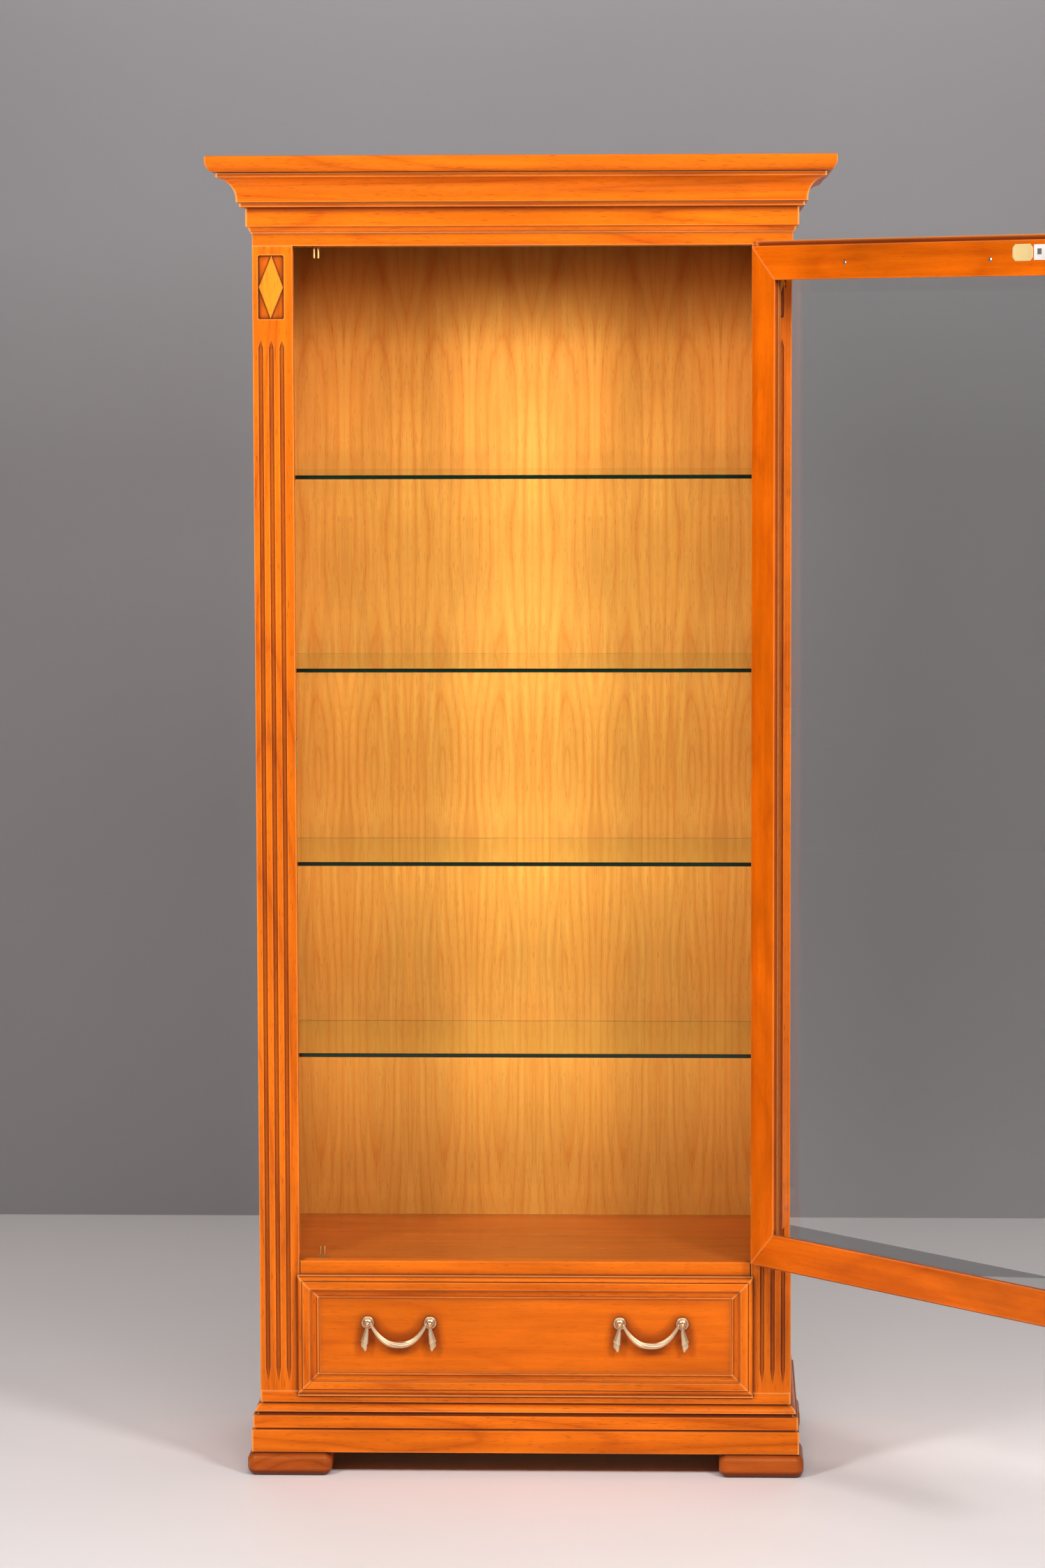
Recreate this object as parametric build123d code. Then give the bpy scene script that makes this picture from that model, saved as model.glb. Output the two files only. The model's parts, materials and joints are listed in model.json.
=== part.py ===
from build123d import *
import math
import os

# China cabinet: a tall cherry display case with one lipped glass door over one drawer.
# Millimetres. +Z is up, the front faces -Y, +X is to the right seen from the front.
# The origin is on the floor, at the middle of the body's footprint.
# The door is built closed and is then turned to the open pose that the part is stored in.

os.makedirs("parts", exist_ok=True)

# ---------------------------------------------------------------- driving dimensions
BODY_W = 815.0
BODY_D = 425.0
TOTAL_H = 2014.0
BOARD = 19.0
FACE_T = 22.0
PILASTER_W = 61.0
DOOR_REST_DEG = 131.4

FOOT_W = 130.0
FOOT_D = 120.0
FOOT_H = 36.0
FOOT_OUT = 20.0
FOOT_NOSE = 13.5
CARCASS_Z = 129.0
FLOOR_Z = 332.0
LINTEL_Z = 1881.0
FRIEZE_Z = 1900.0
COVE_Z = 1945.5
SLAB_Z = 1990.0
SLAB_OUT = 65.0

SHELF_Z = (1534.5, 1240.0, 943.0, 647.5)
SHELF_T = 6.0
SHELF_SETBACK = 40.0
BACK_SETBACK = 413.0
BACK_T = 8.0

LIP_T = 9.0
LIP_GAP = 0.5
LIP_OVER = 3.0
INNER_T = 14.0
DOOR_FACE = 51.0
GLASS_T = 5.0

DRAWER_TOP = 310.5
DRAWER_BOTTOM = 122.0
RAIL_UNDER_Z = 305.0
PULL_X = 193.5
PULL_Z = 237.0
PULL_HOLES = 96.0

# ---------------------------------------------------------------- derived places
F = -BODY_D / 2
B = BODY_D / 2
HALF = BODY_W / 2
OPEN_X = HALF - PILASTER_W
SIDE_IN = HALF - BOARD
BACK_Y = F + BACK_SETBACK
LIP_X = OPEN_X + LIP_OVER
INNER_X = OPEN_X - 2.0
LIP_FRONT = F - LIP_GAP - LIP_T
LIP_BACK = F - LIP_GAP
INNER_BACK = LIP_BACK + INNER_T
DOOR_LIP_LOW = FLOOR_Z - LIP_OVER
DOOR_LIP_HIGH = LINTEL_Z + 5.0
DOOR_LOW = FLOOR_Z + 2.0
DOOR_HIGH = LINTEL_Z - 3.0
SIGHT_X = INNER_X - DOOR_FACE
SIGHT_LOW = DOOR_LOW + DOOR_FACE
SIGHT_HIGH = DOOR_HIGH - DOOR_FACE
HINGE = Vector(LIP_X + 3.0, F - 3.5, 0)
ROD_X = -313.0
ROD_Y = F + 26.5
FAR = 100.0


# ---------------------------------------------------------------- helpers
def save(node, shapes):
    """Write one node; a list becomes one compound of separate solids."""
    shapes = shapes if isinstance(shapes, list) else [shapes]
    solids = [s for shape in shapes for s in shape.solids()]
    export_step(solids[0] if len(solids) == 1 else Compound(children=solids), f"parts/{node}.step")


def block(x, y, z):
    """A box between low and high values on each axis."""
    size = (x[1] - x[0], y[1] - y[0], z[1] - z[0])
    middle = ((x[0] + x[1]) / 2, (y[0] + y[1]) / 2, (z[0] + z[1]) / 2)
    return Pos(*middle) * Box(*size)


def rod(radius, start, end):
    """A round bar between two points."""
    start, end = Vector(*start), Vector(*end)
    plane = Plane(origin=start, z_dir=end - start)
    return extrude(plane * Circle(radius), amount=(end - start).length)


def outline(points, place):
    """A closed face from (across, up) points; a ('arc', middle, end) entry bends the run."""
    edges = []
    here = points[0]
    for step in points[1:] + [points[0]]:
        if step[0] == "arc":
            edges.append(Edge.make_three_point_arc(place(*here), place(*step[1]), place(*step[2])))
            here = step[2]
        else:
            if (Vector(*here) - Vector(*step)).length > 1e-6:
                edges.append(Edge.make_line(place(*here), place(*step)))
            here = step
    return Face(Wire(edges))


def prism(plan, z):
    """An upright prism over an (x, y) polygon."""
    face = make_face(Polyline(*[(x, y, z[0]) for x, y in plan], close=True))
    return extrude(face, amount=z[1] - z[0], dir=(0, 0, 1))


def wall(face_points, y):
    """A flat panel over an (x, z) polygon, between two y values."""
    face = make_face(Polyline(*[(x, y[0], z) for x, z in face_points], close=True))
    return extrude(face, amount=y[1] - y[0], dir=(0, 1, 0))


def mirror_x(shape):
    return mirror(shape, about=Plane.YZ)


def mirrored_pair(shape):
    return [mirror_x(shape), shape]


def wrapped_moulding(profile, z, depth=40.0):
    """Front, left and right runs of a moulding that is mitred at the two front corners.

    The profile is in (distance out from the body, height)."""
    reach = HALF + FAR
    front = extrude(
        outline(profile, lambda out, up: Vector(-reach, F - out, up)), amount=2 * reach, dir=(1, 0, 0)
    )
    front = front & prism(
        [(-reach, F - FAR), (reach, F - FAR), (HALF - depth, F + depth), (depth - HALF, F + depth)], z
    )
    right = extrude(
        outline(profile, lambda out, up: Vector(HALF + out, F - FAR, up)), amount=B - F + FAR, dir=(0, 1, 0)
    )
    right = right & prism(
        [(reach, F - FAR), (reach, B), (HALF - depth, B), (HALF - depth, F + depth)], z
    )
    return front, mirror_x(right), right


# ---------------------------------------------------------------- carcass
FLUTE_R = 3.7
FLUTE_AXIS_OUT = 0.7
FLUTE_PITCH = 16.0
FLUTE_Z = (142.0, 1740.0)
LOWER_FADE = 24.0
UPPER_FADE = 12.0
LOZENGE_HALF_W = 18.6
LOZENGE_HALF_H = 47.4
LOZENGE_CHAMFER = 1.4
RECESS_HALF_W = 19.5
SEAT_SLACK = 0.2
PIN_HOLE_R = 2.5
PIN_HOLE_DEEP = 10.0
PANEL_GROOVE = 8.0


def flute(x, low, high):
    """The cutter for one round-bottomed flute whose ends fade out to points."""
    axis = F - FLUTE_AXIS_OUT
    body = rod(FLUTE_R, (x, axis, low + LOWER_FADE), (x, axis, high - UPPER_FADE))
    lower = Pos(x, axis, low + LOWER_FADE / 2) * Cone(FLUTE_AXIS_OUT, FLUTE_R, LOWER_FADE)
    upper = Pos(x, axis, high - UPPER_FADE / 2) * Cone(FLUTE_R, FLUTE_AXIS_OUT, UPPER_FADE)
    return body + lower + upper


def lozenge(x, z, y, tilt):
    """The raised diamond in a pilaster's recess, tilted a little about its middle."""
    points = [(0, LOZENGE_HALF_H), (LOZENGE_HALF_W, 0), (0, -LOZENGE_HALF_H), (-LOZENGE_HALF_W, 0)]
    shape = wall(points, y)
    front = shape.faces().sort_by(Axis.Y)[0]
    return Pos(x, 0, z) * Rot(0, tilt, 0) * chamfer(front.edges(), LOZENGE_CHAMFER)


ORNAMENT_X = HALF - 28.0
RECESS_Z = (1771.0, 1867.0)
RECESS_DEEP = 4.0
HINGE_Z = (1778.5, 1121.0, 464.0)
HINGE_H = 45.0


def pilaster_right():
    shape = block((OPEN_X, HALF), (F, F + FACE_T), (CARCASS_Z, LINTEL_Z))
    recess_x = (ORNAMENT_X - RECESS_HALF_W, ORNAMENT_X + RECESS_HALF_W)
    recess = block(recess_x, (F - 1, F + RECESS_DEEP), RECESS_Z)
    shape -= fillet(recess.edges().filter_by(Axis.Y), 3.0)
    for offset in (-FLUTE_PITCH, 0.0, FLUTE_PITCH):
        shape -= flute(ORNAMENT_X + offset, *FLUTE_Z)
    return shape


def carcass():
    right = pilaster_right()
    save("pilaster_left", mirror_x(right))
    for top in HINGE_Z:
        seat = (OPEN_X - 1, HINGE.X + 1.7)
        right -= block(seat, (F - 1, F + 1.0), (top - HINGE_H - SEAT_SLACK, top + SEAT_SLACK))
    save("pilaster_right", right)
    middle = sum(RECESS_Z) / 2
    depth = (F + 0.3, F + RECESS_DEEP)
    save("pilaster_lozenges", [
        lozenge(-ORNAMENT_X, middle, depth, 1.0),
        lozenge(ORNAMENT_X, middle, depth, 0.0),
    ])

    side = block((SIDE_IN, HALF), (F + FACE_T, B), (CARCASS_Z, FRIEZE_Z))
    groove_x = (SIDE_IN - 1, SIDE_IN + PANEL_GROOVE)
    side -= block(groove_x, (BACK_Y, BACK_Y + BACK_T), (CARCASS_Z - 1, FRIEZE_Z + 1))
    for top in SHELF_Z:
        for y in PIN_Y:
            z = pin_z(top)
            side -= rod(PIN_HOLE_R, (SIDE_IN - 1, y, z), (SIDE_IN + PIN_HOLE_DEEP, y, z))
    save("side_panel_left", mirror_x(side))
    save("side_panel_right", side)
    save("back_panel", block((-SIDE_IN - 7.5, SIDE_IN + 7.5), (BACK_Y, BACK_Y + BACK_T),
                             (CARCASS_Z, FRIEZE_Z - 0.5)))

    save("lintel_rail", block((-HALF, HALF), (F, F + FACE_T), (LINTEL_Z, FRIEZE_Z)))
    ceiling = block((-SIDE_IN, SIDE_IN), (F + FACE_T, BACK_Y), (CEILING_Z, FRIEZE_Z))
    ceiling -= Pos(0, LIGHT_Y, CEILING_Z) * Cylinder(30.2, 26.0)
    save("ceiling_board", ceiling)

    deck = block((-HALF + 25, HALF - 25), (F + 25, B - 25), (CARCASS_Z - 15, CARCASS_Z))
    save("drawer_deck", deck)
    floor = block((-SIDE_IN, SIDE_IN), (F + FACE_T, BACK_Y), (FLOOR_Z - BOARD, FLOOR_Z))
    save("display_floor", floor)
    rail = block((-OPEN_X + 0.8, OPEN_X - 0.8), (F + 0.3, F + FACE_T), (RAIL_UNDER_Z, FLOOR_Z))
    top_front = rail.edges().filter_by(Axis.X).group_by(Axis.Z)[-1].sort_by(Axis.Y)[0]
    rail = chamfer(top_front, 1.0)
    save("floor_front_rail", chamfer(rail.edges().filter_by(Axis.Z).group_by(Axis.Y)[0], 1.2))


# ---------------------------------------------------------------- cornice and plinth
CEILING_Z = LINTEL_Z + 5.0
LIGHT_Y = F + 155.0


def cornice():
    frieze = [
        (-FACE_T, FRIEZE_Z), (2.2, FRIEZE_Z), (2.2, FRIEZE_Z + 1.5), (4.2, FRIEZE_Z + 3.5),
        (4.2, FRIEZE_Z + 4.5), ("arc", (6.0, FRIEZE_Z + 8.5), (9.0, FRIEZE_Z + 10.0)),
        (9.0, FRIEZE_Z + 37.0), (14.0, FRIEZE_Z + 38.6), (17.5, FRIEZE_Z + 39.0),
        (17.5, COVE_Z), (-FACE_T, COVE_Z),
    ]
    cove = [
        (-FACE_T, COVE_Z), (20.5, COVE_Z), (22.2, COVE_Z + 0.9),
        ("arc", (29.0, COVE_Z + 24.5), (47.5, COVE_Z + 36.5)),
        (49.5, COVE_Z + 37.0), (49.5, SLAB_Z - 1.2), (46.5, SLAB_Z - 1.2), (46.5, SLAB_Z),
        (-FACE_T, SLAB_Z),
    ]
    for name, profile, z in (("frieze", frieze, (FRIEZE_Z, COVE_Z)), ("cove", cove, (COVE_Z, SLAB_Z))):
        for side, run in zip(("front", "left", "right"), wrapped_moulding(profile, z, FACE_T)):
            save(f"cornice_{name}_{side}", run)

    section = [
        (SLAB_OUT - 10.0, SLAB_Z), ("arc", (SLAB_OUT - 3.4, SLAB_Z + 5.6), (SLAB_OUT, SLAB_Z + 15.0)),
        (SLAB_OUT, TOTAL_H - 1.5), (SLAB_OUT - 1.5, TOTAL_H), (-FACE_T, TOTAL_H), (-FACE_T, SLAB_Z),
    ]
    runs = wrapped_moulding(section, (SLAB_Z, TOTAL_H), FACE_T)
    slab = block((-HALF + FACE_T, HALF - FACE_T), (F + FACE_T, B), (SLAB_Z, TOTAL_H))
    for run in runs:
        slab += run
    save("cornice_top_board", slab)
    save("cornice_back_rail", block((-HALF + FACE_T, HALF - FACE_T), (B - BOARD, B), (FRIEZE_Z, SLAB_Z)))


def plinth():
    profile = [
        (-25.0, FOOT_H), (12.0, FOOT_H), ("arc", (12.7, FOOT_H + 0.3), (13.0, FOOT_H + 1.0)),
        (13.0, 70.0), (12.0, 71.0), (9.5, 71.3), (9.5, 72.7), (10.4, 73.0), (11.2, 74.0),
        (11.2, 92.0), (10.2, 93.0), (4.5, 94.0), (4.5, 98.0), (8.2, 98.6),
        ("arc", (5.4, 105.0), (0.0, 109.4)), (-2.0, 109.8), (-2.0, 111.4), (0.0, 112.0),
        (0.0, CARCASS_Z), (-25.0, CARCASS_Z),
    ]
    for side, run in zip(("front", "left", "right"), wrapped_moulding(profile, (FOOT_H, CARCASS_Z), 25.0)):
        save(f"plinth_{side}", run)
    save("plinth_back", block((-HALF + 25, HALF - 25), (B - 25, B), (FOOT_H, CARCASS_Z)))

    outer_x = HALF + FOOT_OUT
    for end, y_low in (("front", F - FOOT_OUT), ("back", B - FOOT_D)):
        foot = block((outer_x - FOOT_W, outer_x), (y_low, y_low + FOOT_D), (0, FOOT_H))
        foot = fillet(foot.edges().filter_by(Axis.Z), FOOT_NOSE + 1.0)
        foot = fillet(foot.faces().sort_by(Axis.Z)[0].edges(), FOOT_NOSE)
        foot = fillet(foot.faces().sort_by(Axis.Z)[-1].edges(), FOOT_NOSE)
        save(f"foot_{end}_left", mirror_x(foot))
        save(f"foot_{end}_right", foot)


# ---------------------------------------------------------------- shelves, light, drawer guides
PIN_Y = (F + 80.0, BACK_Y - 60.0)


def pin_z(shelf_top):
    return shelf_top - SHELF_T - 3.5


def interior():
    shelf_x = SIDE_IN - 1.5
    for number, top in enumerate(SHELF_Z, 1):
        glass = block((-shelf_x, shelf_x), (F + SHELF_SETBACK, BACK_Y - 1.0), (top - SHELF_T, top))
        save(f"glass_shelf_{number}", chamfer(glass.edges().filter_by(Axis.X), 0.6))
    pins = []
    for top in SHELF_Z:
        for y in PIN_Y:
            z = pin_z(top)
            peg = rod(2.45, (SIDE_IN - 1, y, z), (SIDE_IN + 9.0, y, z))
            collar = rod(4.5, (SIDE_IN - 2.5, y, z - 1.0), (SIDE_IN, y, z - 1.0))
            spoon = block((SIDE_IN - 12.0, SIDE_IN - 1.0), (y - 4.0, y + 4.0), (z + 2.0, z + 3.5))
            web = block((SIDE_IN - 9.0, SIDE_IN - 1.0), (y - 0.8, y + 0.8), (z - 4.0, z + 2.5))
            pins += mirrored_pair(peg + collar + spoon + web)
    save("shelf_pins", pins)

    ring = Pos(0, LIGHT_Y, CEILING_Z - 1.5) * (Cylinder(36.0, 3.0) - Cylinder(25.0, 3.0))
    ring = fillet(ring.edges().sort_by(Axis.Z)[0:2].sort_by(SortBy.RADIUS)[-1], 1.6)
    can = Pos(0, LIGHT_Y, CEILING_Z + 6.0) * (Cylinder(30.0, 12.0) - Cylinder(27.6, 12.0))
    save("ceiling_light_ring", ring + can)
    save("ceiling_light_lens", Pos(0, LIGHT_Y, CEILING_Z + 2.0) * Cylinder(27.5, 3.0))

    guide = block((OPEN_X - 2.5, SIDE_IN), (F + FACE_T, BACK_Y), (CARCASS_Z, CARCASS_Z + 60.0))
    save("drawer_guides", mirrored_pair(guide))


# ---------------------------------------------------------------- lipped frames (door and drawer)
def frame_members(section, lip, inset, low, high, half_x, inner_low, inner_high, inner_x):
    """Four mitred members of a lipped frame.

    section is in (distance in from the lip's edge, y); the mitres run at 45 degrees through the
    corners of the inner layer, and lip gives each side's overhang past that layer."""
    mid = (inner_low + inner_high) / 2
    reach_x, reach_z = half_x + FAR, (high - low) / 2 + FAR

    def member(place, run, direction, region):
        body = extrude(outline(section, place), amount=run, dir=direction)
        return body & wall(region, (LIP_FRONT - 5, INNER_BACK + 5))

    corners = {
        (sx, sz): (sx * inner_x, inner_low if sz < 0 else inner_high) for sx in (-1, 1) for sz in (-1, 1)
    }
    inner = {
        (sx, sz): (corners[sx, sz][0] - sx * inset, corners[sx, sz][1] - sz * inset)
        for sx in (-1, 1) for sz in (-1, 1)
    }
    outer = {
        (sx, sz): (corners[sx, sz][0] + sx * FAR, corners[sx, sz][1] + sz * FAR)
        for sx in (-1, 1) for sz in (-1, 1)
    }
    sheet = wall([(-half_x, low), (half_x, low), (half_x, high), (-half_x, high)],
                 (LIP_FRONT - 5, INNER_BACK + 5))
    right = member(
        lambda q, y: Vector(inner_x + lip - q, y, mid - reach_z), 2 * reach_z, (0, 0, 1),
        [outer[1, -1], outer[1, 1], inner[1, 1], inner[1, -1]],
    )
    bottom = member(
        lambda q, y: Vector(-reach_x, y, inner_low - lip + q), 2 * reach_x, (1, 0, 0),
        [outer[-1, -1], outer[1, -1], inner[1, -1], inner[-1, -1]],
    )
    top = member(
        lambda q, y: Vector(-reach_x, y, inner_high + lip - q), 2 * reach_x, (1, 0, 0),
        [outer[-1, 1], outer[1, 1], inner[1, 1], inner[-1, 1]],
    )
    return [shape & sheet for shape in (mirror_x(right), right, bottom, top)]


def thumb_edge(face_end):
    """The rounded lip edge with its quirk, up to the flat face of a frame."""
    return [
        (0.0, LIP_BACK), (0.0, LIP_BACK - 2.0),
        ("arc", (1.9, LIP_BACK - 5.6), (6.4, LIP_BACK - 7.2)),
        (7.4, LIP_BACK - 6.4), (7.6, LIP_FRONT + 0.6), (8.3, LIP_FRONT), (face_end, LIP_FRONT),
    ]


# ---------------------------------------------------------------- door
def turned(shape):
    """Turn a door piece from the closed pose to the stored, open pose."""
    return shape.rotate(Axis((HINGE.X, HINGE.Y, 0), (0, 0, 1)), DOOR_REST_DEG)


def save_door(node, shapes):
    shapes = shapes if isinstance(shapes, list) else [shapes]
    save(node, [turned(s) for s in shapes])


GLASS_FRONT = F - 0.5
GLASS_BACK = GLASS_FRONT + GLASS_T
REBATE = 8.0
BEVEL_W = 26.0
BEVEL_DROP = 1.8


def door():
    lip = LIP_X - INNER_X
    sight = lip + DOOR_FACE
    section = thumb_edge(sight - 12.0) + [
        (sight - 12.0, LIP_FRONT + 1.0), (sight - 10.6, LIP_FRONT + 1.0),
        ("arc", (sight - 5.5, LIP_FRONT + 2.4), (sight - 4.0, LIP_FRONT + 5.5)),
        (sight - 3.0, LIP_FRONT + 5.5), (sight - 3.0, GLASS_FRONT - 1.5), (sight - 3.0, GLASS_FRONT - 0.05),
        (sight - REBATE, GLASS_FRONT - 0.05), (sight - REBATE, GLASS_BACK + 0.05),
        (sight, GLASS_BACK + 0.05), (sight, INNER_BACK - 1.0), (sight - 1.0, INNER_BACK),
        (lip + 1.0, INNER_BACK), (lip, INNER_BACK - 1.0), (lip, LIP_BACK),
    ]
    stile_left, stile_right, rail_low, rail_high = frame_members(
        section, lip, DOOR_FACE + 6.0, DOOR_LIP_LOW, DOOR_LIP_HIGH, LIP_X, DOOR_LOW, DOOR_HIGH, INNER_X
    )
    top_extra = block((-LIP_X, LIP_X), (LIP_BACK - 2.0, LIP_BACK), (DOOR_HIGH + lip, DOOR_LIP_HIGH))
    rail_high = rail_high + top_extra
    for top in HINGE_Z:
        span = (top - HINGE_H - SEAT_SLACK, top + SEAT_SLACK)
        stile_right -= block((INNER_X - 1.0, LIP_X + 1), (LIP_BACK - 1.0, LIP_BACK + 0.01), span)
        stile_right -= block((INNER_X - 1.0, INNER_X + 1), (LIP_BACK - 0.01, LIP_BACK + 12.2), span)
    case_pocket = block((ROD_X - 16.2, ROD_X + 16.2), (INNER_BACK - 9.0, INNER_BACK + 1), LOCK_SPAN)
    key_hole = rod(5.0, (ROD_X, LIP_FRONT - 1, LOCK_Z), (ROD_X, INNER_BACK, LOCK_Z))
    stile_left = stile_left - case_pocket - key_hole
    save_door("door_stile_latch", stile_left)
    save_door("door_stile_hinge", stile_right)
    save_door("door_rail_bottom", rail_low)
    save_door("door_rail_top", rail_high)

    pane_x = SIGHT_X + REBATE - 0.5
    bottom, top = SIGHT_LOW - REBATE + 0.5, SIGHT_HIGH + REBATE - 0.5
    edge_y = GLASS_FRONT + BEVEL_DROP
    middle = (bottom + top) / 2
    pane = block((-pane_x, pane_x), (edge_y, GLASS_BACK), (bottom, top))
    rims = [
        Plane(origin=(0, y, middle), x_dir=(1, 0, 0), z_dir=(0, -1, 0))
        * Rectangle(2 * (pane_x - inset), top - bottom - 2 * inset)
        for y, inset in ((edge_y, 0.0), (GLASS_FRONT, BEVEL_W))
    ]
    pane += loft(rims)
    save_door("door_glass", pane)


# ---------------------------------------------------------------- hinges
KNUCKLE_R = 2.7
PIN_R = 1.5
BORE_R = 1.55


def hinges():
    x, y = HINGE.X, HINGE.Y
    cabinet, moving, pins = [], [], []
    for top in HINGE_Z:
        low = top - HINGE_H
        cuts = (low, low + 15.0, top - 15.0, top)
        plate = block((OPEN_X - 1.0, OPEN_X), (F, F + 19.0), (low, top))
        plate += block((OPEN_X - 1.0, x + 1.5), (F, F + 1.0), (low, top))
        for z0, z1 in ((cuts[0], cuts[1] - 0.2), (cuts[2] + 0.2, cuts[3])):
            barrel = rod(KNUCKLE_R, (x, y, z0), (x, y, z1))
            web = block((x - 1.0, x + 1.5), (y + 2.0, F + 0.5), (z0, z1))
            plate += (barrel + web) - rod(BORE_R, (x, y, z0 - 1), (x, y, z1 + 1))
        cabinet.append(plate)

        leaf = block((INNER_X - 1.0, INNER_X), (LIP_BACK - 1.0, LIP_BACK + 12.0), (low, top))
        leaf += block((INNER_X - 1.0, LIP_X), (LIP_BACK - 1.0, LIP_BACK), (low, top))
        z0, z1 = cuts[1] + 0.2, cuts[2] - 0.2
        tab = block((LIP_X - 0.5, x), (LIP_BACK - 1.0, LIP_BACK), (z0, z1))
        barrel = rod(KNUCKLE_R, (x, y, z0), (x, y, z1))
        leaf += (barrel + tab) - rod(BORE_R, (x, y, z0 - 1), (x, y, z1 + 1))
        moving.append(leaf)

        pin = rod(PIN_R, (x, y, low - 1.0), (x, y, top + 1.0))
        for z in (low - 2.3, top + 2.3):
            pin += Pos(x, y, z) * Sphere(2.2)
        pins.append(pin)
    save("hinge_leaves_cabinet", cabinet)
    save_door("hinge_leaves_door", moving)
    save("hinge_pins", pins)


# ---------------------------------------------------------------- rotary-rod lock
LOCK_Z = 1111.0
LOCK_SPAN = (LOCK_Z - 34.0, LOCK_Z + 34.0)
ROD_R = 3.0
PEG_R = 1.7
PEG_OUT = 6.2
PEG_HALF = 3.2
FORK_H = 17.0
HOOK_SPAN = (135.0, 240.0)
HOOK_R = (9.3, 11.6)
ROD_SLACK = 0.06
GUIDE_Z = (DOOR_LOW + 60.0, LOCK_Z - 330.0, LOCK_Z + 330.0, DOOR_HIGH - 60.0)
BOW_OUT = 26.0


def claw(z0, z1):
    """A hook at the rod's end: an arc that swings behind the two pegs of a fork."""
    start, end = HOOK_SPAN
    inner, outer = HOOK_R
    ring = Pos(ROD_X, ROD_Y, (z0 + z1) / 2) * (Cylinder(outer, z1 - z0) - Cylinder(inner, z1 - z0))
    span = [(ROD_X, ROD_Y)]
    reach, steps = 30.0, 5
    for step in range(steps + 1):
        angle = math.radians(start + (end - start) * step / steps)
        span.append((ROD_X + reach * math.cos(angle), ROD_Y + reach * math.sin(angle)))
    hook = ring & prism(span, (z0, z1))
    arm = block((0, outer - 0.8), (-1.3, 1.3), (z0, z1))
    return hook + Pos(ROD_X, ROD_Y, 0) * Rot(0, 0, end - 4.0) * arm


def lock():
    bottom, top = FLOOR_Z + 7.0, LINTEL_Z - 7.0
    forks = []
    for seat, tip in ((FLOOR_Z, FLOOR_Z + FORK_H), (CEILING_Z, CEILING_Z - FORK_H - 6.0)):
        low, high = min(seat, tip), max(seat, tip)
        base_z = (seat, seat + 1.6) if tip > seat else (seat - 1.6, seat)
        peg_y = ROD_Y + PEG_OUT
        base = block((ROD_X - 9.0, ROD_X + 9.0), (max(peg_y - 5.0, F + FACE_T), peg_y + 7.0), base_z)
        for side in (-1, 1):
            base += rod(PEG_R, (ROD_X + side * PEG_HALF, peg_y, low), (ROD_X + side * PEG_HALF, peg_y, high))
        forks.append(base)
    save("lock_forks", forks)

    strike = block((-OPEN_X, -OPEN_X + 1.2), (F + 1.0, F + 19.0), (LOCK_Z - 22.0, LOCK_Z + 22.0))
    save("lock_strike_plate", strike)

    shaft = rod(ROD_R, (ROD_X, ROD_Y, bottom), (ROD_X, ROD_Y, top))
    shaft += claw(bottom, bottom + 5.0)
    shaft += claw(top - 5.0, top)
    save_door("lock_rod", shaft)

    guides = []
    for z in GUIDE_Z:
        plate = block((ROD_X - 12.0, ROD_X + 12.0), (INNER_BACK, INNER_BACK + 1.5), (z - 5.0, z + 5.0))
        loop = rod(5.2, (ROD_X, ROD_Y, z - 5.0), (ROD_X, ROD_Y, z + 5.0))
        neck = block((ROD_X - 4.0, ROD_X + 4.0), (INNER_BACK, ROD_Y), (z - 5.0, z + 5.0))
        bore = rod(ROD_R + ROD_SLACK, (ROD_X, ROD_Y, z - 6.0), (ROD_X, ROD_Y, z + 6.0))
        guides.append(plate + loop + neck - bore)
    save_door("lock_rod_guides", guides)

    case = block((ROD_X - 16.0, ROD_X + 16.0), (INNER_BACK - 9.0, ROD_Y + 6.0),
                 (LOCK_SPAN[0] + 0.2, LOCK_SPAN[1] - 0.2))
    case = fillet(case.edges().group_by(Axis.Y)[-1], 2.0)
    case -= rod(ROD_R + ROD_SLACK, (ROD_X, ROD_Y, LOCK_Z - 50), (ROD_X, ROD_Y, LOCK_Z + 50))
    case -= rod(2.06, (ROD_X, INNER_BACK - 20, LOCK_Z), (ROD_X, INNER_BACK - 4.0, LOCK_Z))
    save_door("lock_case", case)

    oval = extrude(Ellipse(9.0, 17.0), 0.6, both=True)
    plate = Pos(ROD_X, LIP_FRONT - 0.6, LOCK_Z) * Rot(90, 0, 0) * oval
    plate -= rod(3.2, (ROD_X, LIP_FRONT - 5, LOCK_Z), (ROD_X, LIP_FRONT + 5, LOCK_Z))
    save_door("lock_escutcheon", plate)

    bow_y = LIP_FRONT - BOW_OUT
    key = rod(2.0, (ROD_X, bow_y + 7.0, LOCK_Z), (ROD_X, INNER_BACK - 4.2, LOCK_Z))
    key += rod(3.0, (ROD_X, LIP_FRONT - 5.0, LOCK_Z), (ROD_X, LIP_FRONT - 3.0, LOCK_Z))
    bow = extrude(Plane.YZ * Ellipse(8.5, 11.0), 1.3, both=True)
    bow -= extrude(Plane.YZ * Ellipse(5.0, 7.4), 3.0, both=True)
    key += Pos(ROD_X, bow_y, LOCK_Z) * bow
    save_door("door_key", key)


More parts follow.
